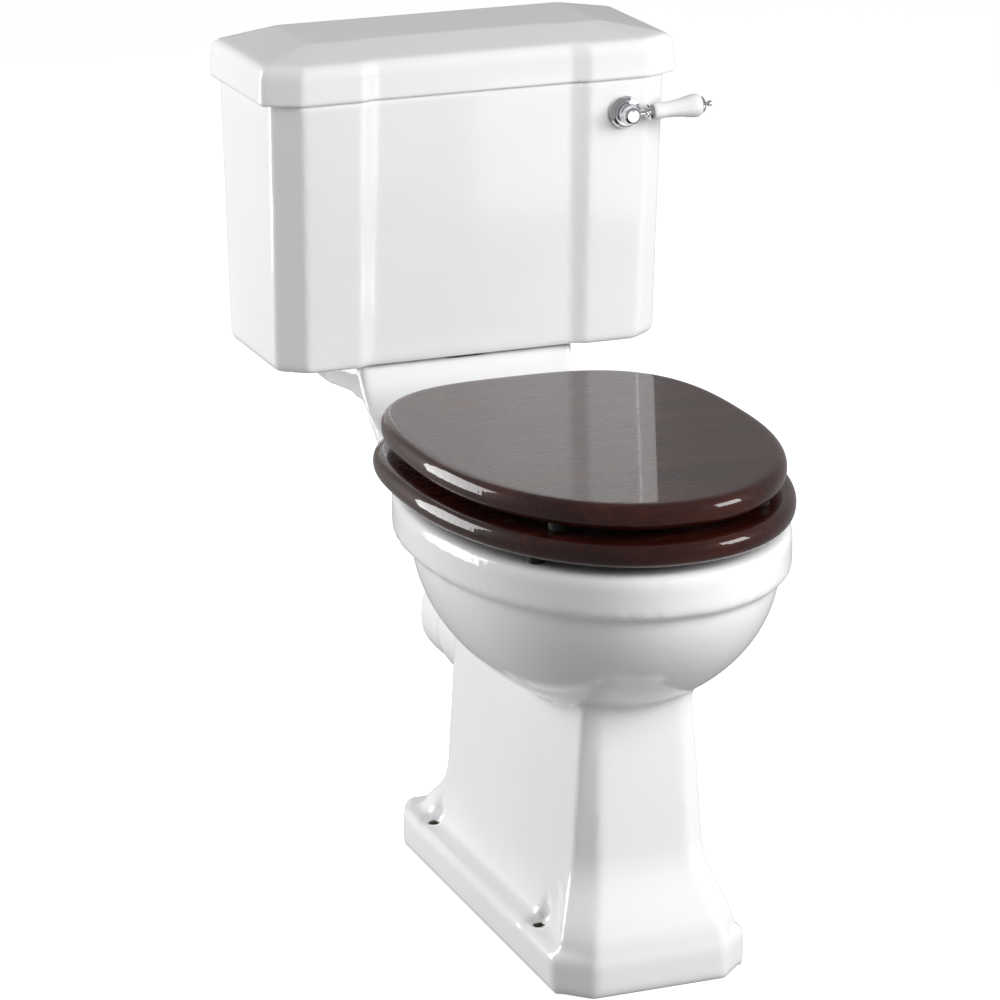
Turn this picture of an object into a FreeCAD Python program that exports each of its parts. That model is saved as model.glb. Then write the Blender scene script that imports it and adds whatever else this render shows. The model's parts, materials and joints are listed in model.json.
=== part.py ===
import FreeCAD, Part
import math
import os

# Close coupled toilet: a china pan and cistern, a wooden seat and cover, and the flushing gear inside.
# Millimetres. +X is to the right when facing the toilet, +Y runs back to the wall, +Z is up.
# Everything is drawn with y = 0 at the wall and z = 0 at the floor. save() then moves it forward,
# so that the origin is the centre of the four floor screws, on the floor.

V = FreeCAD.Vector
X_AXIS = V(1, 0, 0)
Y_AXIS = V(0, 1, 0)
Z_AXIS = V(0, 0, 1)

# Floor screws
SCREW_X = 80.0
SCREW_FRONT_Y = -540.0
SCREW_REAR_Y = -250.0
SCREW_HOLE_R = 5.0
POCKET_R = 14.0
POCKET_DEPTH = 3.5
POCKET_TOP_R = 8.0
POCKET_H = 50.0
LUG_WALL = 8.0
ORIGIN_Y = (SCREW_FRONT_Y + SCREW_REAR_Y) / 2

# Foot and pedestal
CHINA = 10.0
FOOT_HALF = 99.5
FOOT_FRONT_HALF = 66.7
FOOT_REAR_HALF = 84.0
FOOT_FRONT_Y = -650.5
FOOT_CORNER_Y = -620.0
FOOT_REAR_Y = -176.0
FOOT_REAR_CUT = 36.0
FOOT_H = 40.5
FOOT_EDGE_R = 7.0
FOOT_SOLE_W = 14.0
PEDESTAL_TOP = 300.0
PEDESTAL_REAR_Y = -248.0
PEDESTAL_FRONT_Y = -598.0
PEDESTAL_HALF = 54.0
PEDESTAL_FRONT_HALF = 40.0
PEDESTAL_SECTIONS = 29
FLARE_H = 90.0
LEDGE_SPREAD = 5.5
LEDGE_RISE = 44.0
LEDGE_BEND = 42.0

# Bowl and rim
RIM_TOP = 434.0
RIM_BOTTOM = 392.0
RIM_SKIN = 11.0
RIM_HALF = 176.0
RIM_FRONT_Y = -722.0
RIM_WIDE_Y = -472.0
RIM_REAR_Y = -227.0
BOWL_INSET = 11.0
BOWL_REAR = 188.0
BOWL_BOTTOM = 240.0
BOWL_ROUND = 1.85
OPENING_INSET = 44.0

# Trap and outlet
SUMP_Y = -440.0
SUMP_Z = 98.0
SUMP_R = 37.0
TRAP_R = 36.0
TRAP_WALL = 8.0
TRAP_BEND_R = 52.0
TRAP_CROWN_R = 56.0
TRAP_RISE = 62.0
OUTLET_Z = 222.0
OUTLET_END_Y = -135.0
OUTLET_R = 52.0
OUTLET_COLLAR_R = 54.0
OUTLET_COLLAR_Y = -195.0
OUTLET_BORE = 43.0
OUTLET_BORE_L = 45.0

# Shelf that carries the cistern, and the deck behind the seat
SHELF_TOP = 492.0
SHELF_UNDER = 463.0
SHELF_HALF = 130.0
SHELF_FRONT_Y = -148.0
SHELF_REAR_Y = -20.0
SEAL_RECESS = 12.0
SEAL_R = 42.0
DECK_Z = 440.0
DECK_T = 14.0
FLUSH_WAY_HALF = 40.0

# Cistern tank
TANK_BOTTOM = 496.0
TANK_TOP = 771.4
TANK_HALF = 204.0
TANK_FRONT_Y = -168.0
TANK_WALL = 9.0
TANK_FLOOR = 11.0
TANK_EDGE_R = 8.0
BACK_SPARE = 1.0
FLOOR_Z = TANK_BOTTOM + TANK_FLOOR
SIPHON_X = 0.0
SIPHON_Y = -100.0
COUPLING_X = 78.0
WALL_HOLE_X = 150.0
WALL_HOLE_Z = 735.0
WALL_HOLE_R = 4.0

# Cistern lid
LID_HALF = 220.0
LID_FRONT_Y = -188.0
LID_EDGE_H = 39.6
LID_CROWN_H = 9.0
LID_SKIN = 10.0

# Seat
RING_BOTTOM = 442.0
RING_TOP = 466.0
COVER_BOTTOM = 475.0
COVER_TOP = 500.0
COVER_HALF = 173.0
COVER_FRONT_Y = -717.0
COVER_REAR_Y = -250.0
SEAT_WIDE_Y = -460.0
RING_OUTSET = 9.0
SEAT_EDGE_R = 11.0
HOLE_HALF = 110.0
HOLE_HALF_L = 162.0
HOLE_Y = -492.0
BUFFER_R = 9.0
BUFFER_GAP = 0.3

# Seat hinge
HINGE_Y = -238.0
HINGE_Z = 480.0
ROD_R = 4.0
ROD_HALF = 77.5
KNUCKLE_R = 6.5
KNUCKLE_HALF = 8.0
KNUCKLE_PLAY = 0.08
PILLAR_X = 68.0
RING_KNUCKLE_X = 48.5
COVER_KNUCKLE_X = 30.0
STUD_R = 4.0
STRAP_T = 3.0
STRAP_FRONT_Y = -304.0
STRAP_SCREWS = (-268.0, -293.0)
WOOD_SCREW_R = 2.0

# Flush lever
LEVER_X = 157.0
LEVER_Z = 738.0
LEVER_TILT = 3.0
LEVER_FACE_Y = -193.0
LEVER_AXIS_Y = -199.0
SPINDLE_R = 4.5
SPINDLE_PLAY = 0.1
GRIP_START = 24.0
GRIP_END = 76.0
GRIP_BORE = 2.0
ARM_Y = SIPHON_Y
ARM_T = 4.0
ARM_W = 10.0
ARM_SLOPE = 15.0

# Siphon
BELL_X = 72.0
BELL_R = 44.0
BELL_LOW = 517.0
BELL_SHOULDER = 586.0
CROWN_Z = 630.0
LEG_R = 26.0
SIPHON_WALL = 3.0
TAIL_R = 24.0
TAIL_LOW = 464.0
FLANGE_LOW = 511.0
FLANGE_T = 5.0
PLATE_Z = 522.0
PLATE_T = 3.0
LIFT_ROD_R = 2.5
LINK_LOW = 704.0
LINK_WALL = 4.0

# Fill valve
VALVE_X = -150.0
VALVE_Y = -60.0
VALVE_Z = 700.0
VALVE_TAIL_R = 10.48
VALVE_TAIL_LOW = 474.0
VALVE_SHANK_R = 11.0
VALVE_NUT_T = 8.0
PIVOT_X = -128.0
PIVOT_Z = 684.0
PIVOT_R = 2.0
ROLLER_REACH = 16.0
ROLLER_R = 3.0
HALF_SWING = 17.5
PLUNGER_R = 5.0
FLOAT_REACH = 64.0
FLOAT_SLOPE = 25.0
FLOAT_R = 34.0


def save(node, shape):
    moved = shape.copy()
    moved.translate(V(0, -ORIGIN_Y, 0))
    moved.exportStep("parts/" + node + ".step")
    print(node, "solids", len(moved.Solids), "valid", moved.isValid(), "litres", round(moved.Volume / 1e6, 3))


def rod(start, direction, radius, length):
    return Part.makeCylinder(radius, length, start, direction)


def tube(start, direction, outer, inner, length):
    return rod(start, direction, outer, length).cut(rod(start, direction, inner, length))


def box(low, high):
    size = high - low
    return Part.makeBox(size.x, size.y, size.z, low)


def fuse(shapes):
    return shapes[0].multiFuse(shapes[1:]).removeSplitter()


def group(shapes):
    return Part.makeCompound(shapes)


def mirrored(shape):
    return shape.mirror(V(0, 0, 0), X_AXIS)


def both_sides(shape):
    return [shape, mirrored(shape)]


def prism(points, vector):
    wire = Part.makePolygon(points + [points[0]])
    return Part.Face(wire).extrude(vector)


def lathe(profile, base, direction):
    """Turn a (radius, distance along the axis) outline about the axis through base."""
    flat = [V(r, 0, h) for r, h in profile]
    solid = Part.Face(Part.makePolygon(flat + [flat[0]])).revolve(V(0, 0, 0), Z_AXIS, 360)
    solid.Placement = FreeCAD.Placement(base, FreeCAD.Rotation(Z_AXIS, direction))
    return solid


def hexagon(centre, across_flats, height):
    corner = across_flats / 2 / math.cos(math.radians(30))
    turns = [math.radians(60 * i) for i in range(6)]
    points = [centre + V(corner * math.cos(t), corner * math.sin(t), 0) for t in turns]
    return prism(points, V(0, 0, height))


def rounded(points, radii):
    """A closed wire through points, each corner rounded by an arc of its own radius."""
    edges = []
    count = len(points)
    ends = []
    for i in range(count):
        before = (points[i - 1] - points[i]).normalize()
        after = (points[(i + 1) % count] - points[i]).normalize()
        half_angle = before.getAngle(after) / 2
        reach = radii[i] / math.tan(half_angle)
        middle = points[i] + (before + after).normalize() * (radii[i] / math.sin(half_angle) - radii[i])
        ends.append((points[i] + before * reach, middle, points[i] + after * reach))
    for i in range(count):
        start, middle, end = ends[i]
        edges.append(Part.Arc(start, middle, end).toShape())
        edges.append(Part.LineSegment(end, ends[(i + 1) % count][0]).toShape())
    return Part.Wire(edges)


def mirror_points(right_side):
    """Right-hand points listed from the back to the front, then the same on the left."""
    return right_side + [V(-p.x, p.y, p.z) for p in reversed(right_side)]


def superellipse(turn, power):
    """Point of a unit superellipse: (across, along) at the angle turn. A power of 2 is a circle."""
    across = math.copysign(abs(math.cos(turn)) ** (2 / power), math.cos(turn))
    along = math.copysign(abs(math.sin(turn)) ** (2 / power), math.sin(turn))
    return across, along


def closed_curve(points):
    curve = Part.BSplineCurve()
    curve.interpolate(points, PeriodicFlag=True)
    return Part.Wire([curve.toShape()])


def egg(half, wide_y, front_y, rear_y, z, front_power=2.1, rear_power=3.0, steps=48):
    """The closed egg plan of a seat, rim or bowl: two half superellipses that meet where it is widest."""
    points = []
    for i in range(steps):
        turn = 2 * math.pi * i / steps
        behind = math.sin(turn) > 0
        across, along = superellipse(turn, rear_power if behind else front_power)
        reach = rear_y - wide_y if behind else wide_y - front_y
        points.append(V(half * across, wide_y + reach * along, z))
    return closed_curve(points)


def slab(wire, height):
    return Part.Face(wire).extrude(V(0, 0, height))


def level_edges(solid, z):
    """Edges that lie flat at the height z."""
    return [e for e in solid.Edges if abs(e.BoundBox.ZMin - z) < 0.01 and abs(e.BoundBox.ZMax - z) < 0.01]


# ---------------------------------------------------------------- pan

def foot():
    right = [V(FOOT_REAR_HALF, FOOT_REAR_Y, 0), V(FOOT_HALF, FOOT_REAR_Y - FOOT_REAR_CUT, 0),
             V(FOOT_HALF, FOOT_CORNER_Y, 0), V(FOOT_FRONT_HALF, FOOT_FRONT_Y, 0)]
    block = slab(rounded(mirror_points(right), [9, 9, 8, 8, 8, 8, 9, 9]), FOOT_H)
    return block.makeFillet(FOOT_EDGE_R, level_edges(block, FOOT_H))


def pedestal_section(z, inset):
    """Plan of the pedestal at one height. It leans in a little, and flares out to the foot.

    The front and its corners flare right out to the foot's edge. The sides leave a ledge for the screws.
    """
    rise = max(0.0, min(1.0, (z - FOOT_H) / FLARE_H))
    flare = (0.5 * (1 + math.cos(math.pi * rise))) ** 1.3
    side_flare = max(0.0, min(1.0, 1 - (z - FOOT_H) / LEDGE_RISE)) ** 2.2
    drop = PEDESTAL_TOP - z
    front_half = PEDESTAL_FRONT_HALF + 0.035 * drop + 17.0 * flare - 0.6 * inset
    side_half = PEDESTAL_HALF + 0.07 * drop + LEDGE_SPREAD * side_flare - inset
    corner_half = PEDESTAL_HALF + 1.0 + 0.07 * drop + 18.0 * flare - inset
    front_y = PEDESTAL_FRONT_Y - 0.07 * drop - 32.0 * flare + inset
    corner_y = PEDESTAL_FRONT_Y + 4.0 - 25.0 * flare + 0.8 * inset
    rear_y = PEDESTAL_REAR_Y + 58.0 * flare ** 2 - inset
    rear_cut = 9.0 + 8.0 * flare
    right = [V(side_half - rear_cut, rear_y, z), V(side_half, rear_y - rear_cut, z),
             V(side_half, corner_y + LEDGE_BEND, z), V(corner_half, corner_y, z), V(front_half, front_y, z)]
    return rounded(mirror_points(right), [4, 4, 60, 5, 5, 5, 5, 60, 4, 4])


def pedestal(inset):
    low = FOOT_H / 2
    step = (PEDESTAL_TOP - inset - low) / (PEDESTAL_SECTIONS - 1)
    sections = [pedestal_section(low + step * i, inset) for i in range(PEDESTAL_SECTIONS)]
    return Part.makeLoft(sections, True, False)


def bowl_solid(inset):
    """The bowl under the rim: its plan shrinks along a rounded profile down to the bottom."""
    half = RIM_HALF - BOWL_INSET - inset
    front = RIM_WIDE_Y - RIM_FRONT_Y - BOWL_INSET - inset
    rear = BOWL_REAR - inset
    top = RIM_BOTTOM + 2
    depth = top - BOWL_BOTTOM - inset
    sections = []
    for share in (0.0, 0.14, 0.3, 0.46, 0.62, 0.76, 0.87, 0.95, 0.985):
        scale = (1 - share ** BOWL_ROUND) ** (1 / BOWL_ROUND)
        wide_y = RIM_WIDE_Y - 2 * share
        sections.append(egg(half * scale, wide_y, wide_y - front * scale, wide_y + rear * scale,
                            top - depth * share, rear_power=2.1, steps=32))
    return Part.makeLoft(sections, True, False)


def rim_wire(inset, z):
    """Plan of the rim band, or of the bowl's mouth under it at a larger inset."""
    return egg(RIM_HALF - inset, RIM_WIDE_Y, RIM_FRONT_Y + inset, RIM_REAR_Y - inset, z, rear_power=2.1)


def rim_band():
    band = slab(rim_wire(0, RIM_BOTTOM), RIM_TOP - RIM_BOTTOM)
    band = band.makeFillet(9, level_edges(band, RIM_TOP))
    return band.makeFillet(4, level_edges(band, RIM_BOTTOM))


def shelf_plan():
    plan = [V(SHELF_HALF, SHELF_REAR_Y, 0), V(SHELF_HALF, -92, 0), V(114, -146, 0), V(120, -220, 0),
            V(118, -320, 0)]
    return slab(rounded(mirror_points(plan), [8, 14, 20, 20, 2, 2, 20, 20, 14, 8]), 600)


def shelf():
    """The slab under the cistern, sweeping down in front to the deck behind the seat."""
    back = V(0, SHELF_REAR_Y, SHELF_TOP)
    brow = V(0, SHELF_FRONT_Y, SHELF_TOP)
    sweep_foot = V(0, -200, DECK_Z + 5)
    sweep = Part.Arc(brow, V(0, -163, 463), sweep_foot).toShape()
    deck_front = V(0, -250, DECK_Z)
    rest = [sweep_foot, V(0, -213, DECK_Z), deck_front, V(0, -262, RIM_TOP), V(0, -320, RIM_TOP),
            V(0, -320, 408), V(0, -232, 412), V(0, -205, 424), V(0, -180, 441), V(0, -152, 455),
            V(0, -122, SHELF_UNDER), V(0, SHELF_REAR_Y, SHELF_UNDER), back]
    straight = [Part.makeLine(start, end) for start, end in zip(rest, rest[1:])]
    outline = Part.Wire([Part.makeLine(back, brow), sweep] + straight)
    solid = Part.Face(outline).extrude(V(2 * SHELF_HALF, 0, 0))
    solid.translate(V(-SHELF_HALF, 0, 0))
    return solid.common(shelf_plan())


def duct(margin):
    """The flush way: down from the cistern's outlet and forward under the deck to the bowl."""
    half = FLUSH_WAY_HALF + margin
    upper = [(-58 + margin, 470), (-140, 470), (-175, 440 + margin / 2), (-235, 420 + margin / 2),
             (-300, 416 + margin / 2)]
    lower = [(-300, 402 - margin), (-235, 402 - margin), (-165, 426 - margin), (-110, 442 - margin),
             (-58 + margin, 442 - margin)]
    return prism([V(-half, y, z) for y, z in upper + lower], V(2 * half, 0, 0))


def trap_path():
    """Centre line of the trap: out of the sump, up over the weir and back to the outlet."""
    rise = math.radians(TRAP_RISE)
    slope = V(0, math.cos(rise), math.sin(rise))
    start = V(0, SUMP_Y, SUMP_Z)
    low = start + V(0, 45, 0)
    bend = low + V(0, 0, TRAP_BEND_R)
    bend_mid = bend + V(0, math.sin(rise / 2), -math.cos(rise / 2)) * TRAP_BEND_R
    bend_end = bend + V(0, math.sin(rise), -math.cos(rise)) * TRAP_BEND_R
    climb = (OUTLET_Z - bend_end.z - TRAP_CROWN_R * (1 - math.cos(rise))) / slope.z
    crown_start = bend_end + slope * climb
    crown = crown_start + V(0, math.sin(rise), -math.cos(rise)) * TRAP_CROWN_R
    crown_mid = crown + V(0, -math.sin(rise / 2), math.cos(rise / 2)) * TRAP_CROWN_R
    crown_end = crown + V(0, 0, TRAP_CROWN_R)
    finish = V(0, OUTLET_END_Y - 20, OUTLET_Z)
    first_bend = Part.Arc(low, bend_mid, bend_end).toShape()
    second_bend = Part.Arc(crown_start, crown_mid, crown_end).toShape()
    first_line = Part.makeLine(start, low)
    climb_line = Part.makeLine(bend_end, crown_start)
    last_line = Part.makeLine(crown_end, finish)
    return Part.Wire([first_line, first_bend, climb_line, second_bend, last_line])


def trap(radius):
    circle = Part.Wire([Part.makeCircle(radius, V(0, SUMP_Y, SUMP_Z), Y_AXIS)])
    return trap_path().makePipeShell([circle], True, True)


def sump(margin):
    """The well of the bowl, going down to the mouth of the trap and closing below it."""
    wires = []
    for z, half, front, rear in ((275, 46, -520, -372), (235, 43, -500, -384), (180, 40, -487, -394),
                                 (125, 38.5, -482, -398), (90, SUMP_R, -479, -401), (72, 32, -474, -406),
                                 (60, 20, -462, -418)):
        sink = margin * max(0.0, 125 - z) / 65
        centre = V(0, (front + rear) / 2, z - sink)
        major = (rear - front) / 2 + margin
        oval = Part.Ellipse(centre + V(0, major, 0), centre + V(half + margin, 0, 0), centre)
        wires.append(Part.Wire([oval.toShape()]))
    return Part.makeLoft(wires, True, False)


def screw_lugs():
    """The places round the floor screws where the china is left solid down to the floor."""
    lugs = [rod(V(x, y, -1), Z_AXIS, POCKET_R + LUG_WALL, FOOT_H + POCKET_H)
            for x in (-SCREW_X, SCREW_X) for y in (SCREW_FRONT_Y, SCREW_REAR_Y)]
    return group(lugs)


def screw_pocket(x, y):
    """Round seat for a floor screw's head, narrowing upwards into the foot of the pedestal's side."""
    floor = V(x, y, FOOT_H - POCKET_DEPTH)
    hood = Part.makeCone(POCKET_R, POCKET_TOP_R, POCKET_H, floor, Z_AXIS)
    return hood.fuse(rod(V(x, y, -5), Z_AXIS, SCREW_HOLE_R, 60))


def pan_holes():
    """Outlet bore, inlet, and the holes and pockets for bolts, hinge studs and floor screws."""
    inlet_low = SHELF_UNDER - 8
    holes = [rod(V(0, OUTLET_END_Y + 1, OUTLET_Z), V(0, -1, 0), OUTLET_BORE, OUTLET_BORE_L),
             rod(V(SIPHON_X, SIPHON_Y, inlet_low), Z_AXIS, 36.0, 60),
             rod(V(SIPHON_X, SIPHON_Y, SHELF_TOP - SEAL_RECESS), Z_AXIS, SEAL_R + 0.5, 20)]
    pocket_low = V(-19, HINGE_Y - 17, RIM_BOTTOM - 12)
    pocket_high = V(19, HINGE_Y + 34, DECK_Z - DECK_T)
    for side in (-1, 1):
        holes.append(rod(V(side * COUPLING_X, SIPHON_Y, 440), Z_AXIS, 6.0, 70))
        holes.append(rod(V(side * PILLAR_X, HINGE_Y, RIM_BOTTOM - 12), Z_AXIS, 7.0, 80))
        holes.append(box(pocket_low + V(side * PILLAR_X, 0, 0), pocket_high + V(side * PILLAR_X, 0, 0)))
        for y in (SCREW_FRONT_Y, SCREW_REAR_Y):
            holes.append(screw_pocket(side * SCREW_X, y))
    return holes


def make_pan():
    under_foot = box(V(-FOOT_HALF + FOOT_SOLE_W, FOOT_FRONT_Y + 32, -1),
                     V(FOOT_HALF - FOOT_SOLE_W, FOOT_REAR_Y - 32, FOOT_H - 8))
    hollow = pedestal(CHINA).fuse(under_foot).cut(screw_lugs())
    pan = pedestal(0).fuse(foot()).cut(hollow)
    neck = box(V(-50, -330, 290), V(50, PEDESTAL_REAR_Y, 412))
    spigot_start = PEDESTAL_REAR_Y - 12
    spigot = rod(V(0, spigot_start, OUTLET_Z), Y_AXIS, OUTLET_R, OUTLET_END_Y - spigot_start)
    collar = rod(V(0, spigot_start, OUTLET_Z), Y_AXIS, OUTLET_COLLAR_R, OUTLET_COLLAR_Y - spigot_start)
    for body in (bowl_solid(0), rim_band(), shelf(), neck, spigot, collar, duct(CHINA - 1),
                 trap(TRAP_R + TRAP_WALL), sump(TRAP_WALL)):
        pan = pan.fuse(body)
    under_rim = slab(rim_wire(BOWL_INSET + CHINA + 2, RIM_BOTTOM - 4), RIM_TOP - RIM_SKIN - RIM_BOTTOM + 4)
    mouth = slab(rim_wire(OPENING_INSET, RIM_TOP - 30), 40)
    for space in (bowl_solid(CHINA + 1), under_rim, mouth, sump(0), trap(TRAP_R), duct(0)):
        pan = pan.cut(space)
    for hole in pan_holes():
        pan = pan.cut(hole)
    return pan


# ---------------------------------------------------------------- cistern

def tank_section(z, inset):
    """Plan of the tank: a shallow front panel between two wings, and cut front corners."""
    share = (z - TANK_BOTTOM) / (TANK_TOP - TANK_BOTTOM)
    side = TANK_HALF + 4.4 * share
    wing_y = TANK_FRONT_Y - 16.0 * share
    panel_y = wing_y + 6.0
    panel_half = 106.5 - 3.8 * share
    right = [V(side - inset, BACK_SPARE - inset, z), V(side - inset, wing_y + 22.0 + 0.5 * inset, z),
             V(side - 27.0 - 0.6 * inset, wing_y + inset, z), V(120.8 + 0.5 * inset, wing_y + inset, z),
             V(panel_half + 0.5 * inset, panel_y + inset, z)]
    return rounded(mirror_points(right), [5, 9, 9, 8, 8, 8, 8, 9, 9, 5])


def make_tank():
    rows = []
    for step in range(6):
        turn = math.radians(18 * step)
        rise = TANK_EDGE_R * (1 - math.cos(turn))
        rows.append(tank_section(TANK_BOTTOM + rise, TANK_EDGE_R * (1 - math.sin(turn))))
    outer = Part.makeLoft(rows + [tank_section(TANK_TOP, 0)], True, True)
    outer = outer.cut(box(V(-TANK_HALF - 20, 0, TANK_BOTTOM - 1), V(TANK_HALF + 20, 10, TANK_TOP + 1)))
    inner = Part.makeLoft([tank_section(z, TANK_WALL) for z in (FLOOR_Z, TANK_TOP + 1)], True, True)
    under = TANK_BOTTOM - 16
    tank = outer.cut(inner)
    tank = tank.cut(rod(V(SIPHON_X, SIPHON_Y, under), Z_AXIS, TAIL_R + 2, 50))
    tank = tank.cut(rod(V(VALVE_X, VALVE_Y, under), Z_AXIS, VALVE_SHANK_R + 0.5, 50))
    tank = tank.cut(rod(V(LEVER_X, -200, LEVER_Z), Y_AXIS, 9.5, 60))
    for side in (-1, 1):
        tank = tank.cut(rod(V(side * COUPLING_X, SIPHON_Y, under), Z_AXIS, 6.0, 50))
        tank = tank.cut(rod(V(side * WALL_HOLE_X, -20, WALL_HOLE_Z), Y_AXIS, WALL_HOLE_R, 40))
    return tank


def lid_section(z, inset, rear_inset):
    """Plan of the lid, which follows the tank's front. The inset is smaller on the panel's step."""
    side = LID_HALF - inset
    wing_y = LID_FRONT_Y + inset
    corner_y = LID_FRONT_Y + 20.0 + 0.6 * inset
    right = [V(side, -rear_inset, z), V(side, corner_y, z), V(183.0 - 0.6 * inset, wing_y, z),
             V(121.0 - 0.2 * inset, wing_y, z), V(102.5 - 0.2 * inset, wing_y + 6.0, z)]
    return rounded(mirror_points(right), [8] * 10)


def lid_loft(rows):
    """Ruled loft through rows of (height above the tank, inset, inset at the back)."""
    sections = [lid_section(TANK_TOP + rise, inset, rear_inset) for rise, inset, rear_inset in rows]
    return Part.makeLoft(sections, True, True)


def make_lid():
    """Upright edge, rounded over into slopes that rise to a flat crown, with a lip inside the tank."""
    lid = lid_loft([(0, 0, 0), (27, 1.5, 0.5), (34, 3.5, 2), (38, 7, 5), (LID_EDGE_H, 12, 8),
                    (LID_EDGE_H + LID_CROWN_H, 66, 14)])
    cavity = lid_loft([(-1, 24, 24), (LID_EDGE_H - LID_SKIN, 26, 24)])
    lip = lid_loft([(-7, 24, 24), (4, 23.5, 23.5)]).cut(lid_loft([(-8, 32, 32), (5, 32, 32)]))
    return lid.cut(cavity).fuse(lip)


# ---------------------------------------------------------------- seat

def seat_wire(outset, rear_outset, z):
    return egg(COVER_HALF + outset, SEAT_WIDE_Y, COVER_FRONT_Y - outset, COVER_REAR_Y + rear_outset, z)


def rounded_board(wire, height):
    board = slab(wire, height)
    low = board.BoundBox.ZMin
    board = board.makeFillet(SEAT_EDGE_R, level_edges(board, low + height))
    return board.makeFillet(SEAT_EDGE_R, level_edges(board, low))


def make_ring():
    """Egg-shaped board with an oval hole, drilled and let in underneath for its hinge straps."""
    ring = rounded_board(seat_wire(RING_OUTSET, 2, RING_BOTTOM), RING_TOP - RING_BOTTOM)
    hole = egg(HOLE_HALF, HOLE_Y, HOLE_Y - HOLE_HALF_L, HOLE_Y + HOLE_HALF_L, RING_BOTTOM - 1,
               front_power=2.0, rear_power=2.0, steps=40)
    ring = ring.cut(slab(hole, RING_TOP - RING_BOTTOM + 2))
    rims = [e for z in (RING_TOP, RING_BOTTOM) for e in level_edges(ring, z)
            if abs(e.BoundBox.XLength - 2 * HOLE_HALF) < 1]
    ring = ring.makeFillet(SEAT_EDGE_R - 1, rims)
    groove_half = KNUCKLE_HALF + 0.3
    for x in (-RING_KNUCKLE_X, RING_KNUCKLE_X):
        ring = ring.cut(box(V(x - groove_half, STRAP_FRONT_Y - 0.3, RING_BOTTOM - 1),
                            V(x + groove_half, HINGE_Y, RING_BOTTOM + STRAP_T)))
    return drill_screws(ring, RING_KNUCKLE_X, RING_BOTTOM + STRAP_T)


def make_cover():
    cover = rounded_board(seat_wire(0, 0, COVER_BOTTOM), COVER_TOP - COVER_BOTTOM)
    return drill_screws(cover, COVER_KNUCKLE_X, COVER_BOTTOM)


def drill_screws(board, strap_x, under):
    for x in (-strap_x, strap_x):
        for y in STRAP_SCREWS:
            board = board.cut(rod(V(x, y, under - 1), Z_AXIS, WOOD_SCREW_R, 16))
    return board


def seat_buffers(x, y, top, rest):
    """A pair of round rubber feet between a board's underside and what it closes on."""
    height = top - rest - BUFFER_GAP
    profile = [(0, 0), (BUFFER_R - 1, 0), (BUFFER_R, 1.5), (BUFFER_R, height), (0, height)]
    return both_sides(lathe(profile, V(x, y, top - height), Z_AXIS))


def hinge_pillar(x):
    height = HINGE_Z - DECK_Z
    profile = [(0, 0), (11, 0), (11, 3), (8.5, 5.5), (6.5, 9), (6.5, height), (0, height)]
    post = lathe(profile, V(x, HINGE_Y, DECK_Z), Z_AXIS)
    head = rod(V(x - 8.5, HINGE_Y, HINGE_Z), X_AXIS, KNUCKLE_R, 17)
    rod_hole = rod(V(x - 10, HINGE_Y, HINGE_Z), X_AXIS, ROD_R, 20)
    stud_hole = rod(V(x, HINGE_Y, DECK_Z - 1), Z_AXIS, STUD_R, 18)
    return post.fuse(head).cut(rod_hole).cut(stud_hole)


def hinge_stud(x):
    low = DECK_Z - DECK_T - 22
    return rod(V(x, HINGE_Y, low), Z_AXIS, STUD_R, DECK_Z + 16 - low)


def hinge_cap():
    profile = [(0, 0), (5.5, 0), (5.5, 2.5), (4.5, 4.5), (2.5, 5.5), (0, 5.5)]
    return lathe(profile, V(ROD_HALF, HINGE_Y, HINGE_Z), X_AXIS)


def wing_nut(x, y, top, bore):
    """Hub with two wings, hanging below the washer whose underside is at top."""
    hub = rod(V(x, y, top - 10), Z_AXIS, bore + 4.5, 10)
    wings = box(V(x - bore - 12, y - 1.5, top - 12), V(x + bore + 12, y + 1.5, top - 3))
    return hub.fuse(wings).cut(rod(V(x, y, top - 14), Z_AXIS, bore, 16)).removeSplitter()


def flat_washer(x, y, low, outer, inner, thickness):
    return tube(V(x, y, low), Z_AXIS, outer, inner, thickness)


def seat_bracket(x, strap_low):
    """Knuckle on the hinge rod, a leg down its front, and a strap that runs forward under the board."""
    left = x - KNUCKLE_HALF
    right = x + KNUCKLE_HALF
    front_y = HINGE_Y - KNUCKLE_R
    back_y = front_y + STRAP_T
    knuckle = rod(V(left, HINGE_Y, HINGE_Z), X_AXIS, KNUCKLE_R, right - left)
    leg = box(V(left, front_y, strap_low), V(right, back_y, HINGE_Z))
    strap = box(V(left, STRAP_FRONT_Y, strap_low), V(right, back_y, strap_low + STRAP_T))
    bracket = fuse([knuckle, leg, strap])
    bracket = bracket.cut(rod(V(left - 1, HINGE_Y, HINGE_Z), X_AXIS, ROD_R + KNUCKLE_PLAY, right - left + 2))
    for y in STRAP_SCREWS:
        bracket = bracket.cut(rod(V(x, y, strap_low - 1), Z_AXIS, WOOD_SCREW_R + 0.2, STRAP_T + 2))
    return bracket


def strap_screw(x, y, under):
    """Wood screw driven up through a strap whose underside is at the height under."""
    head = lathe([(0, 0), (3.6, 0), (3.0, -1.2), (0, -1.6)], V(x, y, under), Z_AXIS)
    return head.fuse(rod(V(x, y, under), Z_AXIS, WOOD_SCREW_R, 15)).removeSplitter()


def strap_screws(strap_x, under):
    return group([strap_screw(x, y, under) for x in (-strap_x, strap_x) for y in STRAP_SCREWS])


def pair(make, x, *sizes):
    """The same hinge piece at x and at -x."""
    return group([make(side * x, *sizes) for side in (-1, 1)])


# ---------------------------------------------------------------- flush lever

def tilted(shape):
    turned = shape.copy()
    turned.rotate(V(LEVER_X, 0, LEVER_Z), Y_AXIS, -LEVER_TILT)
    return turned


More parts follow.
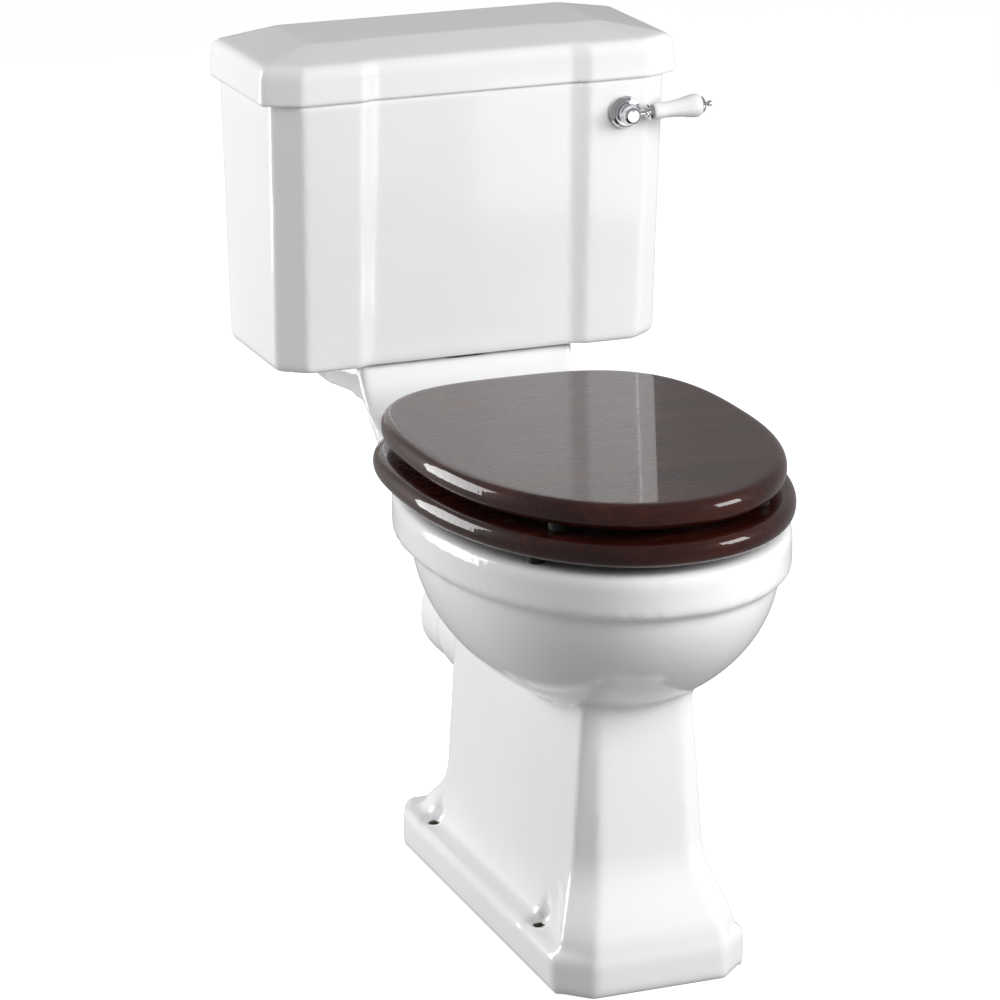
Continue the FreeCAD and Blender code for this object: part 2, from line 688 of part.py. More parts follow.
def lever_boss(tank):
    """Round plate seated on the front of the tank, with the threaded bush that goes through it."""
    profile = [(0, 0), (16.5, 0), (16.5, 6), (15, 8), (13, 8.6), (13, 11), (12, 12.5), (0, 12.5)]
    plate = lathe(profile, V(LEVER_X, -180, LEVER_Z), V(0, -1, 0))
    bush = rod(V(LEVER_X, -185, LEVER_Z), Y_AXIS, 9.0, 33)
    boss = plate.cut(tank).Solids[0].fuse(bush)
    return boss.cut(rod(V(LEVER_X, -200, LEVER_Z), Y_AXIS, SPINDLE_R + SPINDLE_PLAY, 60)).removeSplitter()


def lever_hub():
    profile = [(0, 0), (10.5, 0), (11, 2), (11, 5), (9.5, 7.5), (9.2, 10.5), (8.4, 12.6), (6, 14), (0, 14.6)]
    front = lathe(profile, V(LEVER_X, LEVER_FACE_Y, LEVER_Z), V(0, -1, 0))
    return front.cut(rod(V(LEVER_X, LEVER_FACE_Y - 8, LEVER_Z), Y_AXIS, SPINDLE_R, 10))


def along_lever(profile):
    return tilted(lathe(profile, V(LEVER_X, LEVER_AXIS_Y, LEVER_Z), X_AXIS))


def lever_neck():
    neck = along_lever([(0, 7), (3.2, 7), (3.0, 12), (3.2, 15), (5.5, 16.5), (5.5, 18), (8, 19), (8.7, 21),
                        (8, 23), (7, GRIP_START), (0, GRIP_START)])
    return neck.cut(lever_hub()).Solids[0]


def lever_grip():
    """China handle, waisted near the neck and swelling towards its end."""
    skin = [(7.6, GRIP_START), (8.3, 26), (8.2, 32), (7.9, 38), (8.3, 46), (9.6, 56), (11.2, 64),
            (11.8, 68.5), (11.4, 72.5), (9.8, 75), (7.6, GRIP_END)]
    return along_lever([(GRIP_BORE, GRIP_START)] + skin + [(GRIP_BORE, GRIP_END)])


def lever_end_cap():
    profile = [(0, 0), (8.3, 0), (8.5, 1), (7.6, 2.6), (5, 4), (2.4, 5.2), (1.6, 6.5), (2.6, 8), (3.0, 9.6),
               (2.6, 11.2), (1.4, 12.4), (0, 12.8)]
    return along_lever([(radius, GRIP_END + along) for radius, along in profile])


def lever_tie_rod():
    return along_lever([(0, GRIP_START), (GRIP_BORE, GRIP_START), (GRIP_BORE, GRIP_END), (0, GRIP_END)])


def spindle_nut(y, across_flats, bore):
    nut = hexagon(V(0, 0, 0), across_flats, 6).cut(rod(V(0, 0, -1), Z_AXIS, bore, 8))
    nut.Placement = FreeCAD.Placement(V(LEVER_X, y, LEVER_Z), FreeCAD.Rotation(Z_AXIS, Y_AXIS))
    return nut


def lever_inner_arm():
    """Flat bar on the spindle, sloping down to the siphon's lift link."""
    length = (LEVER_X - BELL_X) / math.cos(math.radians(ARM_SLOPE)) + 6
    bar = box(V(LEVER_X - length, ARM_Y - ARM_W / 2, LEVER_Z - ARM_T / 2),
              V(LEVER_X, ARM_Y + ARM_W / 2, LEVER_Z + ARM_T / 2))
    hub = rod(V(LEVER_X, ARM_Y - 7, LEVER_Z), Y_AXIS, 9.0, 14)
    arm = bar.fuse(hub).removeSplitter()
    arm.rotate(V(LEVER_X, 0, LEVER_Z), Y_AXIS, -ARM_SLOPE)
    return arm.cut(rod(V(LEVER_X, ARM_Y - 10, LEVER_Z), Y_AXIS, SPINDLE_R, 20))


# ---------------------------------------------------------------- siphon

def siphon_passage(shrink, leg_shrink, leg_low, bell_low):
    """Downleg, crown and bell as one solid. The shrinks make the hollow inside."""
    leg = rod(V(SIPHON_X, SIPHON_Y, leg_low), Z_AXIS, LEG_R - leg_shrink, CROWN_Z - leg_low)
    middle_x = (SIPHON_X + BELL_X) / 2
    ring = Part.makeTorus(middle_x - SIPHON_X, LEG_R - shrink, V(middle_x, SIPHON_Y, CROWN_Z), Y_AXIS)
    upper = box(V(SIPHON_X - 60, SIPHON_Y - 60, CROWN_Z), V(BELL_X + 60, SIPHON_Y + 60, CROWN_Z + 100))
    profile = [(0, bell_low), (BELL_R - shrink, bell_low), (BELL_R - shrink, BELL_SHOULDER),
               (LEG_R - shrink, CROWN_Z), (0, CROWN_Z)]
    bell = lathe(profile, V(BELL_X, SIPHON_Y, 0), Z_AXIS)
    return fuse([leg, ring.common(upper), bell])


def make_siphon():
    tail = rod(V(SIPHON_X, SIPHON_Y, TAIL_LOW), Z_AXIS, TAIL_R, FLANGE_LOW - TAIL_LOW)
    flange = rod(V(SIPHON_X, SIPHON_Y, FLANGE_LOW), Z_AXIS, TAIL_R + 10, FLANGE_T)
    guide_low = CROWN_Z + (BELL_X - SIPHON_X) / 2 + 6
    guide = rod(V(BELL_X, SIPHON_Y, guide_low), Z_AXIS, 6.0, 20)
    body = fuse([siphon_passage(0, 0, FLANGE_LOW, BELL_LOW), tail, flange, guide])
    hollow = siphon_passage(SIPHON_WALL, SIPHON_WALL + LEG_R - TAIL_R + 1, TAIL_LOW - 1, BELL_LOW - 1)
    return body.cut(hollow).cut(rod(V(BELL_X, SIPHON_Y, guide_low - 12), Z_AXIS, LIFT_ROD_R + 0.5, 40))


def lift_link():
    """Stirrup over the tip of the lever arm, hung on the lift rod."""
    half_y = 12.0
    arm_z = LEVER_Z - (LEVER_X - BELL_X) * math.tan(math.radians(ARM_SLOPE))
    window_top = arm_z + 3.9
    low = V(BELL_X - 2, SIPHON_Y - half_y, LINK_LOW)
    high = V(BELL_X + 2, SIPHON_Y + half_y, window_top + LINK_WALL)
    frame = box(low, high)
    window = box(low + V(-1, LINK_WALL, LINK_WALL), high - V(-1, LINK_WALL, LINK_WALL))
    return frame.cut(window)


def siphon_plate():
    plate = rod(V(BELL_X, SIPHON_Y, PLATE_Z), Z_AXIS, BELL_R - 4, PLATE_T)
    for i in range(6):
        turn = math.radians(60 * i)
        centre = V(BELL_X + 24 * math.cos(turn), SIPHON_Y + 24 * math.sin(turn), PLATE_Z - 1)
        plate = plate.cut(rod(centre, Z_AXIS, 8.0, PLATE_T + 2))
    return plate


# ---------------------------------------------------------------- fill valve

PIVOT = V(PIVOT_X, VALVE_Y, PIVOT_Z)
SWING = math.radians(HALF_SWING)
ROLLER = PIVOT + V(math.sin(SWING), 0, math.cos(SWING)) * ROLLER_REACH
FLOAT_WAY = V(math.cos(math.radians(FLOAT_SLOPE)), 0, -math.sin(math.radians(FLOAT_SLOPE)))
FLOAT_CENTRE = PIVOT + FLOAT_WAY * FLOAT_REACH


def make_fill_valve():
    """Threaded tail and shank, standpipe and head, with two cheeks that carry the float arm's pin."""
    tail = rod(V(VALVE_X, VALVE_Y, VALVE_TAIL_LOW), Z_AXIS, VALVE_TAIL_R, FLANGE_LOW - VALVE_TAIL_LOW)
    shank_low = TANK_BOTTOM - VALVE_NUT_T
    shank = rod(V(VALVE_X, VALVE_Y, shank_low), Z_AXIS, VALVE_SHANK_R, FLANGE_LOW - shank_low)
    flange = rod(V(VALVE_X, VALVE_Y, FLANGE_LOW), Z_AXIS, 17.0, FLANGE_T)
    column = rod(V(VALVE_X, VALVE_Y, FLANGE_LOW), Z_AXIS, 10.0, VALVE_Z - FLANGE_LOW)
    head = rod(V(VALVE_X - 20, VALVE_Y, VALVE_Z), X_AXIS, 13.0, 36)
    cheek_low = V(VALVE_X + 12, VALVE_Y - 10, PIVOT_Z - 6)
    cheek_high = V(PIVOT_X + 6, VALVE_Y - 7, VALVE_Z + 6)
    cheeks = [box(cheek_low, cheek_high), box(cheek_low + V(0, 17, 0), cheek_high + V(0, 17, 0))]
    body = fuse([tail, shank, flange, column, head] + cheeks)
    body = body.cut(rod(V(VALVE_X, VALVE_Y, VALVE_TAIL_LOW - 1), Z_AXIS, 7.0, 170))
    body = body.cut(rod(V(VALVE_X - 8, VALVE_Y, VALVE_Z), X_AXIS, PLUNGER_R + 0.08, 30))
    return body.cut(rod(PIVOT - V(0, 12, 0), Y_AXIS, PIVOT_R, 24))


def valve_plunger():
    tip = ROLLER.x - ROLLER_R - 0.35
    return rod(V(tip - 17, VALVE_Y, VALVE_Z), X_AXIS, PLUNGER_R, 17)


def float_arm():
    """Hub on the pivot pin, a finger with a round nose on the plunger, and the rod to the float."""
    hub = rod(PIVOT - V(0, 6.5, 0), Y_AXIS, 5.0, 13)
    nose = rod(ROLLER - V(0, 3, 0), Y_AXIS, ROLLER_R, 6)
    finger = box(V(-1.5, -3, 0), V(1.5, 3, ROLLER_REACH))
    finger.Placement = FreeCAD.Placement(PIVOT, FreeCAD.Rotation(Z_AXIS, ROLLER - PIVOT))
    stem = rod(PIVOT, FLOAT_WAY, 3.0, FLOAT_REACH - FLOAT_R + 6)
    return fuse([hub, nose, finger, stem]).cut(rod(PIVOT - V(0, 8, 0), Y_AXIS, PIVOT_R + 0.05, 16))


def float_ball():
    ball = Part.makeSphere(FLOAT_R, FLOAT_CENTRE)
    boss = rod(PIVOT + FLOAT_WAY * (FLOAT_REACH - FLOAT_R - 5), FLOAT_WAY, 6.0, 12)
    return ball.fuse(boss).cut(rod(PIVOT, FLOAT_WAY, 3.0, FLOAT_REACH - FLOAT_R + 6)).removeSplitter()


# ---------------------------------------------------------------- all parts

def save_seat():
    save("seat_ring", make_ring())
    save("seat_cover", make_cover())
    front_feet = seat_buffers(116, -632, RING_BOTTOM, RIM_TOP)
    rear_feet = seat_buffers(140, -400, RING_BOTTOM, RIM_TOP)
    save("ring_buffers", group(front_feet + rear_feet))
    save("cover_buffers", group(seat_buffers(100, -645, COVER_BOTTOM, RING_TOP)))
    save("hinge_pillars", pair(hinge_pillar, PILLAR_X))
    save("hinge_rod", rod(V(-ROD_HALF, HINGE_Y, HINGE_Z), X_AXIS, ROD_R, 2 * ROD_HALF))
    save("hinge_rod_caps", group(both_sides(hinge_cap())))
    save("hinge_studs", pair(hinge_stud, PILLAR_X))
    washer_low = DECK_Z - DECK_T - 3
    save("hinge_washers", pair(flat_washer, PILLAR_X, HINGE_Y, washer_low, 12, STUD_R + 0.4, 3))
    save("hinge_wing_nuts", pair(wing_nut, PILLAR_X, HINGE_Y, washer_low, STUD_R))
    save("ring_brackets", pair(seat_bracket, RING_KNUCKLE_X, RING_BOTTOM))
    save("cover_brackets", pair(seat_bracket, COVER_KNUCKLE_X, COVER_BOTTOM - STRAP_T))
    save("ring_screws", strap_screws(RING_KNUCKLE_X, RING_BOTTOM))
    save("cover_screws", strap_screws(COVER_KNUCKLE_X, COVER_BOTTOM - STRAP_T))


def save_lever(tank):
    save("lever_boss", lever_boss(tank))
    save("lever_backnut", spindle_nut(-172.0, 27, 9.0))
    save("lever_hub", lever_hub())
    save("lever_neck", lever_neck())
    save("lever_grip", lever_grip())
    save("lever_tie_rod", lever_tie_rod())
    save("lever_end_cap", lever_end_cap())
    spindle_y = LEVER_FACE_Y - 8
    save("lever_spindle", rod(V(LEVER_X, spindle_y, LEVER_Z), Y_AXIS, SPINDLE_R, ARM_Y + 16 - spindle_y))
    save("lever_inner_arm", lever_inner_arm())
    save("lever_clamp_nut", spindle_nut(ARM_Y + 7, 14, SPINDLE_R))


def save_siphon():
    save("siphon_body", make_siphon())
    save("siphon_washer", flat_washer(SIPHON_X, SIPHON_Y, FLOOR_Z, 32, TAIL_R, FLANGE_LOW - FLOOR_Z))
    backnut = flat_washer(SIPHON_X, SIPHON_Y, TANK_BOTTOM - 13, 33, TAIL_R, 13)
    save("siphon_backnut", backnut)
    recess = SHELF_TOP - SEAL_RECESS
    save("doughnut_seal", flat_washer(SIPHON_X, SIPHON_Y, recess, SEAL_R, 35, TANK_BOTTOM - recess))
    rod_low = PLATE_Z + PLATE_T
    save("siphon_rod", rod(V(BELL_X, SIPHON_Y, rod_low), Z_AXIS, LIFT_ROD_R, LINK_LOW - rod_low))
    save("siphon_plate", siphon_plate())
    save("siphon_flap", flat_washer(BELL_X, SIPHON_Y, rod_low, BELL_R - 6, LIFT_ROD_R, 1.2))
    save("lift_link", lift_link())


def save_fill_valve():
    save("fill_valve", make_fill_valve())
    save("fill_valve_washer", flat_washer(VALVE_X, VALVE_Y, FLOOR_Z, 16, VALVE_SHANK_R, FLANGE_LOW - FLOOR_Z))
    nut_low = TANK_BOTTOM - VALVE_NUT_T
    nut = hexagon(V(VALVE_X, VALVE_Y, nut_low), 30, VALVE_NUT_T)
    save("fill_valve_backnut", nut.cut(rod(V(VALVE_X, VALVE_Y, nut_low - 1), Z_AXIS, VALVE_SHANK_R, 10)))
    save("float_pivot_pin", rod(PIVOT - V(0, 12, 0), Y_AXIS, PIVOT_R, 24))
    save("valve_plunger", valve_plunger())
    save("float_arm", float_arm())
    save("float_ball", float_ball())


def coupling_bolt(x):
    """Hexagon head on the rubber washer inside the tank, and the shank down through the shelf."""
    head_low = FLOOR_Z + 4
    tip = SHELF_UNDER - 17
    head = hexagon(V(x, SIPHON_Y, head_low), 13, 5)
    return head.fuse(rod(V(x, SIPHON_Y, tip), Z_AXIS, 4.0, head_low - tip))


def save_couplings():
    under = SHELF_UNDER - 2
    save("coupling_bolts", pair(coupling_bolt, COUPLING_X))
    save("coupling_rubber_washers", pair(flat_washer, COUPLING_X, SIPHON_Y, FLOOR_Z, 12, 4.0, 4))
    save("coupling_steel_washers", pair(flat_washer, COUPLING_X, SIPHON_Y, under, 11, 4.4, 2))
    save("coupling_wing_nuts", pair(wing_nut, COUPLING_X, SIPHON_Y, under, 4.0))


def main():
    os.makedirs("parts", exist_ok=True)
    tank = make_tank()
    save("pan", make_pan())
    save("cistern_tank", tank)
    save("cistern_lid", make_lid())
    save_seat()
    save_lever(tank)
    save_siphon()
    save_fill_valve()
    save_couplings()


main()
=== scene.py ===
import json
import math
import bmesh
import bpy
from mathutils import Matrix, Vector
from mathutils.bvhtree import BVHTree

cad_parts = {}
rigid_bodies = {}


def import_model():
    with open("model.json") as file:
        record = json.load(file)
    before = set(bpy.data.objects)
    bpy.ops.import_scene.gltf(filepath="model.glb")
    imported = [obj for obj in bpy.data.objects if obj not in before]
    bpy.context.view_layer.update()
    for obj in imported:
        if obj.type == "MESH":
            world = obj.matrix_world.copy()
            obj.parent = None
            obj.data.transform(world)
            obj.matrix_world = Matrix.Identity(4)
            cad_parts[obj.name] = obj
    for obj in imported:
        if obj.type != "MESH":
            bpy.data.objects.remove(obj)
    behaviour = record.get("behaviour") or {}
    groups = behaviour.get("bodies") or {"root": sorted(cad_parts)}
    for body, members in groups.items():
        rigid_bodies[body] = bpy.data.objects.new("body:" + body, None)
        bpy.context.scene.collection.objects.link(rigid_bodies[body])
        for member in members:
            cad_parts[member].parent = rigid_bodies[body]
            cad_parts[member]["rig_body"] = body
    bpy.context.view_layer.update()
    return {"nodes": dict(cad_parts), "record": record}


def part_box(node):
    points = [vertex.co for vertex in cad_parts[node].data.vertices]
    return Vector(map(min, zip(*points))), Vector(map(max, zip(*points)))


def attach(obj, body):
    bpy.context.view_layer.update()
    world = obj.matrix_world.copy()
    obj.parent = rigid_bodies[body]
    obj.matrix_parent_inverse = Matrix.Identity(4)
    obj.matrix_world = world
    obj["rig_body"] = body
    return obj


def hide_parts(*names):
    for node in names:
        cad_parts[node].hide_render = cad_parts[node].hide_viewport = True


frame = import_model()

# ---------------------------------------------------------------- the view

CAMERA_PLACE = Vector((-1.540, -3.874, 1.702))
CAMERA_YAW = math.radians(20.9)       # turned to the right of +Y
CAMERA_PITCH = math.radians(17.2)     # looking down
CAMERA_ROLL = math.radians(-0.5)
CAMERA_LENS = 162.5                   # millimetres, on a 36 mm sensor


def make_camera():
    """The camera looks down from the front left with a long lens."""
    level = Vector((math.sin(CAMERA_YAW), math.cos(CAMERA_YAW), 0))
    right = Vector((math.cos(CAMERA_YAW), -math.sin(CAMERA_YAW), 0))
    forward = level * math.cos(CAMERA_PITCH) - Vector((0, 0, math.sin(CAMERA_PITCH)))
    up = right.cross(forward)
    side = right * math.cos(CAMERA_ROLL) + up * math.sin(CAMERA_ROLL)
    up = side.cross(forward)
    data = bpy.data.cameras.new("view")
    data.lens = CAMERA_LENS
    data.sensor_width = 36
    camera = bpy.data.objects.new("view", data)
    axes = Matrix((side, up, -forward)).transposed()
    camera.matrix_world = Matrix.Translation(CAMERA_PLACE) @ axes.to_4x4()
    bpy.context.scene.collection.objects.link(camera)
    bpy.context.scene.camera = camera


# ---------------------------------------------------------------- floor and light

FLOOR_RADIUS = 30.0
FLOOR_SIDES = 64
FLOOR_GLOW = 0.66                     # lifts the floor to the white of a studio sweep
SURROUND = 0.30                       # brightness of the grey surround
MIDDLE = (0, 0, 0.45)                 # what the lamps point at
LEVER_HUB = (0.157, 0.190, 0.738)     # what the card faces


def make_floor(material):
    """One plain disc under the object."""
    floor = bpy.data.meshes.new("floor")
    turns = [2 * math.pi * step / FLOOR_SIDES for step in range(FLOOR_SIDES)]
    rim = [(FLOOR_RADIUS * math.cos(turn), FLOOR_RADIUS * math.sin(turn), 0) for turn in turns]
    floor.from_pydata(rim, [], [list(range(FLOOR_SIDES))])
    floor.materials.append(material)
    piece = bpy.data.objects.new("floor", floor)
    piece.visible_diffuse = False
    piece.visible_glossy = False
    bpy.context.scene.collection.objects.link(piece)


def softbox(name, target, direction, distance, size, power):
    """A rectangular lamp that shines at the target. The camera can't see it directly."""
    data = bpy.data.lights.new(name, "AREA")
    data.shape = "RECTANGLE"
    data.size, data.size_y = size
    data.energy = power
    lamp = bpy.data.objects.new(name, data)
    away = Vector(direction).normalized()
    lamp.location = Vector(target) + away * distance
    lamp.rotation_euler = (-away).to_track_quat("-Z", "Y").to_euler()
    lamp.visible_camera = False
    bpy.context.scene.collection.objects.link(lamp)
    return lamp


def make_light():
    """A grey surround, three lamps, and a card that shows only in reflections, for the chrome."""
    world = bpy.data.worlds.new("studio")
    world.use_nodes = True
    world.node_tree.nodes["Background"].inputs["Color"].default_value = (1, 1, 1, 1)
    world.node_tree.nodes["Background"].inputs["Strength"].default_value = SURROUND
    bpy.context.scene.world = world
    softbox("left", MIDDLE, (-0.78, 0.62, 0.18), 2.6, (1.5, 2.0), 68)
    softbox("right", MIDDLE, (0.72, -0.52, 0.34), 2.4, (0.9, 0.9), 26)
    softbox("front", MIDDLE, (0.40, -0.78, 0.50), 3.0, (1.8, 1.8), 56).visible_glossy = False
    softbox("card", LEVER_HUB, (0.34, -0.89, -0.30), 0.45, (0.26, 0.26), 0.30).visible_diffuse = False
    bpy.context.scene.view_settings.view_transform = "Standard"


# ---------------------------------------------------------------- the foot's screw holes and the shade painted in them

SCREW_X = 0.080                       # a screw stands at each plus and minus of these two
SCREW_Y = 0.145
SCREW_TOP = 0.06                      # the screw pockets' detail is below this height
TRUE_RADIUS = 0.009                   # nearer a screw's axis than this, the CAD shape is kept
PAINTED_SHADE_RADIUS = 0.0058             # painted shade covers the hole, 5 mm in radius, and a 0.8 mm ring round it
PAINTED_HOLE_SHADE = (0.09, 0.07, 0.05, 1)   # painted shade: a dark brown standing in for the shadow down the holes, chosen so that the holes read as holes


# ---------------------------------------------------------------- materials

class Finish:
    """A procedural material, with short calls for its nodes."""

    def __init__(self, name, **shader):
        self.material = bpy.data.materials.new(name)
        self.material.use_nodes = True
        self.tree = self.material.node_tree
        self.shader = self.tree.nodes["Principled BSDF"]
        for socket, value in shader.items():
            self.shader.inputs[socket.replace("_", " ")].default_value = value

    def add(self, kind, links=None, **settings):
        """A node whose inputs are given as values or as other nodes' outputs."""
        node = self.tree.nodes.new(kind)
        for key, value in settings.items():
            setattr(node, key, value)
        for key, value in (links or {}).items():
            if isinstance(value, bpy.types.NodeSocket):
                self.tree.links.new(value, node.inputs[key])
            else:
                node.inputs[key].default_value = value
        return node

    def place(self, stretch=(1, 1, 1)):
        """Places on the object in metres, scaled along each axis."""
        coordinates = self.add("ShaderNodeTexCoord").outputs["Object"]
        return self.add("ShaderNodeMapping", {"Vector": coordinates, "Scale": stretch}).outputs["Vector"]

    def noise(self, place, scale, detail=3.0, roughness=0.5, distortion=0.0):
        links = {"Vector": place, "Scale": scale, "Detail": detail, "Roughness": roughness,
                 "Distortion": distortion}
        return self.add("ShaderNodeTexNoise", links).outputs["Fac"]

    def levels(self, value, low, high, start=0.3, stop=0.7):
        """Maps a texture between start and stop to the range low to high."""
        links = {"Value": value, "From Min": start, "From Max": stop, "To Min": low, "To Max": high}
        return self.add("ShaderNodeMapRange", links).outputs["Result"]

    def blend(self, value, *stops):
        """A colour ramp: each stop is a position and a colour."""
        ramp = self.add("ShaderNodeValToRGB", {"Fac": value})
        points = ramp.color_ramp.elements
        while len(points) < len(stops):
            points.new(0.5)
        for point, (position, colour) in zip(points, stops):
            point.position = position
            point.color = (*colour, 1)
        return ramp.outputs["Color"]

    def colour(self, output):
        self.tree.links.new(output, self.shader.inputs["Base Color"])

    def roughness(self, output):
        self.tree.links.new(output, self.shader.inputs["Roughness"])

    def bump(self, height, distance):
        """Relief whose full height is the distance, in metres."""
        node = self.add("ShaderNodeBump", {"Height": height, "Distance": distance, "Strength": 1.0})
        self.tree.links.new(node.outputs["Normal"], self.shader.inputs["Normal"])

    def mix(self, share, first, second):
        """Two colours mixed: all of the second where the share is 1."""
        node = self.add("ShaderNodeMix", data_type="RGBA")
        for socket, value in ((0, share), (6, first), (7, second)):
            if isinstance(value, bpy.types.NodeSocket):
                self.tree.links.new(value, node.inputs[socket])
            else:
                node.inputs[socket].default_value = value
        return node.outputs[2]

    def vector(self, operation, first, second=(0, 0, 0)):
        """Vector arithmetic: the first output is a vector, the second a number."""
        return self.add("ShaderNodeVectorMath", {0: first, 1: second}, operation=operation).outputs

    def below(self, value, limit):
        """1 where the value is under the limit, and 0 elsewhere."""
        return self.add("ShaderNodeMath", {0: value, 1: limit}, operation="LESS_THAN").outputs[0]


def painted_hole_shade_mask(finish, place):
    """Where shade is painted: 1 in the floor screw holes and on a narrow ring round each mouth, and 0
    elsewhere.
    """
    folded = finish.vector("ABSOLUTE", place)[0]
    aside = finish.vector("SUBTRACT", folded, (SCREW_X, SCREW_Y, 0))[0]
    flat = finish.vector("MULTIPLY", aside, (1, 1, 0))[0]
    near = finish.below(finish.vector("LENGTH", flat)[1], PAINTED_SHADE_RADIUS)
    height = finish.add("ShaderNodeSeparateXYZ", {"Vector": place}).outputs["Z"]
    low = finish.below(height, SCREW_TOP)
    return finish.add("ShaderNodeMath", {0: near, 1: low}, operation="MULTIPLY").outputs[0]


def glaze(name, light, shade, paint_hole_shade=False):
    """Glazed china: deep gloss, a faint drift of tone and the slow waves of a fired glaze, with painted
    shade in the foot's screw holes when asked for.
    """
    finish = Finish(name, IOR=1.52)
    place = finish.place()
    tone = finish.blend(finish.noise(place, 7, 2), (0.3, shade), (0.7, light))
    if paint_hole_shade:
        # painted shade: the screw holes and a ring round each mouth turn dark brown, standing in for
        # their shadow
        tone = finish.mix(painted_hole_shade_mask(finish, place), tone, PAINTED_HOLE_SHADE)
    finish.colour(tone)
    finish.roughness(finish.levels(finish.noise(place, 40, 2), 0.09, 0.14))
    finish.bump(finish.noise(place, 22, 1.5), 0.00025)
    return finish.material


def mahogany():
    """Dark stained wood, its grain from side to side, under thick clear lacquer."""
    finish = Finish("mahogany", Specular_IOR_Level=0.1, Coat_Weight=1.0, Coat_Roughness=0.03,
                    Coat_IOR=1.45)
    grain = finish.noise(finish.place((4, 90, 90)), 2.2, 6, 0.6, 0.4)
    figure = finish.noise(finish.place((3, 14, 14)), 1.6, 3, 0.5, 0.8)
    mixed = finish.add("ShaderNodeMath", {0: grain, 1: figure}, operation="ADD").outputs[0]
    spread = finish.levels(mixed, 0.0, 1.0, 0.75, 1.25)
    stops = ((0.0, (0.016, 0.0025, 0.0015)), (0.5, (0.028, 0.0045, 0.003)), (1.0, (0.048, 0.009, 0.005)))
    finish.colour(finish.blend(spread, *stops))
    finish.roughness(finish.levels(grain, 0.35, 0.5))
    finish.bump(grain, 0.00003)
    return finish.material


def rubber(name, dark, light):
    """Moulded rubber: matt, faintly dusty and finely grained."""
    finish = Finish(name, Specular_IOR_Level=0.35)
    place = finish.place()
    finish.colour(finish.blend(finish.noise(place, 120, 4), (0.3, dark), (0.75, light)))
    finish.roughness(finish.levels(finish.noise(place, 300, 2), 0.55, 0.75))
    finish.bump(finish.noise(place, 900, 3), 0.00008)
    return finish.material


def metal(name, dark, light, smooth, rough, lines=(1, 1, 1), relief=0.00002):
    """Polished or machined metal, with fine lines along the axis that isn't stretched."""
    finish = Finish(name, Metallic=1.0)
    place = finish.place(lines)
    marks = finish.noise(place, 60, 5, 0.6)
    finish.colour(finish.blend(marks, (0.3, dark), (0.7, light)))
    finish.roughness(finish.levels(marks, smooth, rough))
    finish.bump(finish.noise(place, 160, 3), relief)
    return finish.material


def plastic(name, dark, light, smooth, rough):
    """Moulded plastic with a fine even grain."""
    finish = Finish(name, IOR=1.46, Subsurface_Weight=0.05, Subsurface_Scale=0.01)
    place = finish.place()
    finish.colour(finish.blend(finish.noise(place, 35, 3), (0.3, dark), (0.7, light)))
    finish.roughness(finish.levels(finish.noise(place, 90, 3), smooth, rough))
    finish.bump(finish.noise(place, 500, 2), 0.00004)
    return finish.material


def studio_floor():
    """A pale floor, a little mottled."""
    finish = Finish("studio_floor", Specular_IOR_Level=0.1, Emission_Color=(1, 1, 1, 1),
                    Emission_Strength=FLOOR_GLOW)
    place = finish.place()
    mottle = finish.noise(place, 1.5, 2)
    finish.colour(finish.blend(mottle, (0.2, (0.93, 0.93, 0.93)), (0.8, (0.96, 0.96, 0.96))))
    finish.roughness(finish.levels(finish.noise(place, 4, 2), 0.7, 0.9))
    return finish.material


MATERIALS = {
    # the pan's glaze carries painted shade in the foot's screw holes
    "glaze": glaze("glaze", (0.90, 0.90, 0.905), (0.87, 0.87, 0.875), paint_hole_shade=True),
    "handle_china": glaze("handle_china", (0.90, 0.90, 0.89), (0.86, 0.86, 0.85)),
    "mahogany": mahogany(),
    "buffer_rubber": rubber("buffer_rubber", (0.010, 0.010, 0.010), (0.022, 0.022, 0.022)),
    "seal_rubber": rubber("seal_rubber", (0.030, 0.030, 0.032), (0.060, 0.060, 0.062)),
    "chrome": metal("chrome", (0.78, 0.79, 0.81), (0.86, 0.87, 0.89), 0.03, 0.07),
    "steel": metal("steel", (0.50, 0.50, 0.52), (0.66, 0.66, 0.68), 0.24, 0.38, (1, 1, 6)),
    "brass": metal("brass", (0.60, 0.42, 0.17), (0.78, 0.58, 0.28), 0.22, 0.36, (1, 1, 6)),
    "white_plastic": plastic("white_plastic", (0.80, 0.80, 0.78), (0.86, 0.86, 0.84), 0.38, 0.50),
    "float_plastic": plastic("float_plastic", (0.70, 0.15, 0.04), (0.84, 0.24, 0.08), 0.25, 0.38),
}


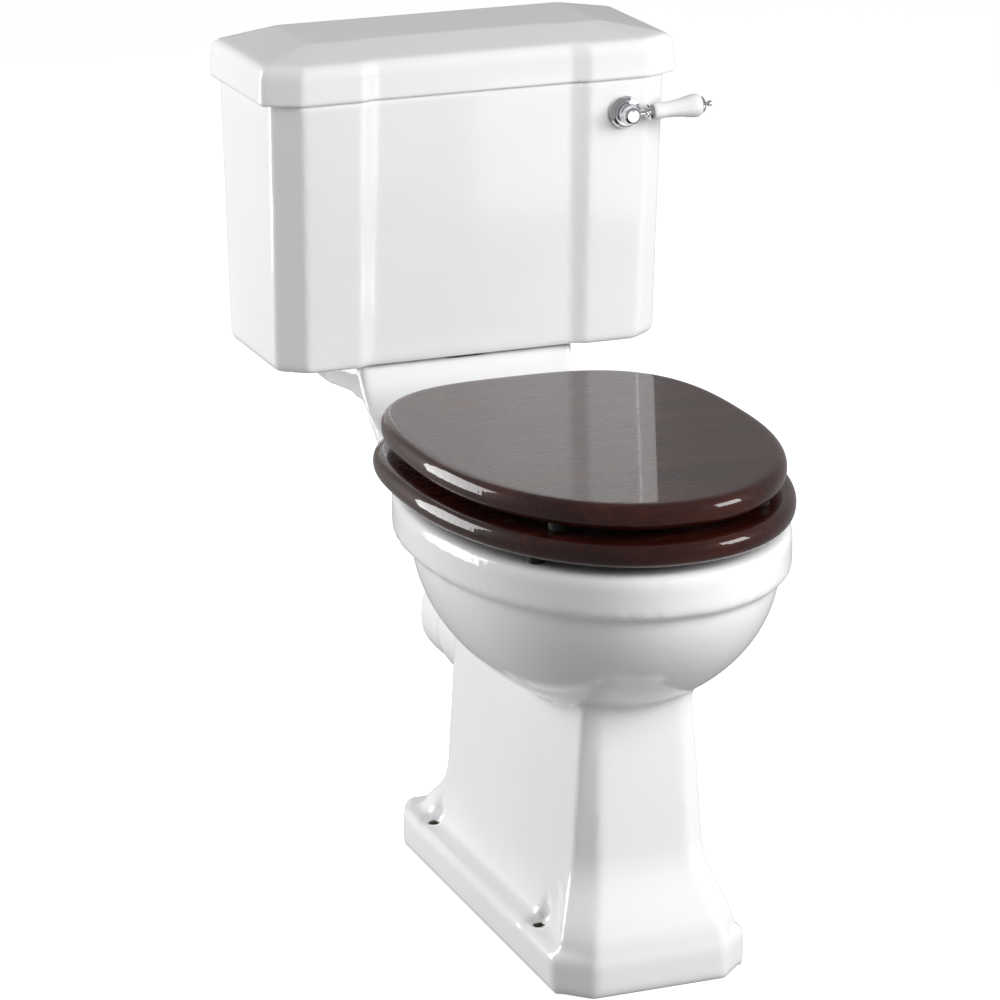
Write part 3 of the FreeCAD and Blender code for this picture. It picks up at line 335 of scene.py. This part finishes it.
def dress_nodes():
    """Each CAD node gets the material of its slot in the record."""
    for part in frame["record"]["subparts"]:
        mesh = frame["nodes"][part["node"]].data
        mesh.materials.clear()
        mesh.materials.append(MATERIALS[part["material_slot"]])


# ---------------------------------------------------------------- softened pieces

WELD = 0.00002                        # corners nearer than this are joined


def near_screw(place):
    """Whether a place is close to one of the foot's screw axes."""
    reach = math.hypot(abs(place.x) - SCREW_X, abs(place.y) - SCREW_Y)
    return place.z < SCREW_TOP and reach < TRUE_RADIUS


def softened(node, voxel, passes, slot):
    """The node's shape with its arrises rounded, as glaze or lacquer softens them, on the same body."""
    source = frame["nodes"][node]
    true_shape = BVHTree.FromObject(source, bpy.context.evaluated_depsgraph_get())
    low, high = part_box(node)
    mesh = source.data.copy()
    shell = bmesh.new()
    shell.from_mesh(mesh)
    bmesh.ops.remove_doubles(shell, verts=shell.verts, dist=WELD)
    shell.to_mesh(mesh)
    shell.free()
    piece = bpy.data.objects.new("soft_" + node, mesh)
    bpy.context.scene.collection.objects.link(piece)
    remesh = piece.modifiers.new("remesh", "REMESH")
    remesh.mode = "VOXEL"
    remesh.voxel_size = voxel
    smooth = piece.modifiers.new("soften", "SMOOTH")
    smooth.factor = 0.5
    smooth.iterations = passes
    view = bpy.context.evaluated_depsgraph_get()
    soft = bpy.data.meshes.new_from_object(piece.evaluated_get(view))
    piece.modifiers.clear()
    piece.data = soft
    for vertex in soft.vertices:
        if near_screw(vertex.co):
            vertex.co = true_shape.find_nearest(vertex.co)[0]
        for axis in range(3):
            vertex.co[axis] = min(max(vertex.co[axis], low[axis]), high[axis])
    soft.polygons.foreach_set("use_smooth", [True] * len(soft.polygons))
    soft.materials.clear()
    soft.materials.append(MATERIALS[slot])
    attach(piece, source["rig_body"])
    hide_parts(node)


make_camera()
make_floor(studio_floor())
make_light()
dress_nodes()
softened("pan", 0.0040, 5, "glaze")
softened("cistern_tank", 0.0030, 4, "glaze")
softened("cistern_lid", 0.0022, 6, "glaze")
softened("seat_ring", 0.0022, 6, "mahogany")
softened("seat_cover", 0.0022, 6, "mahogany")
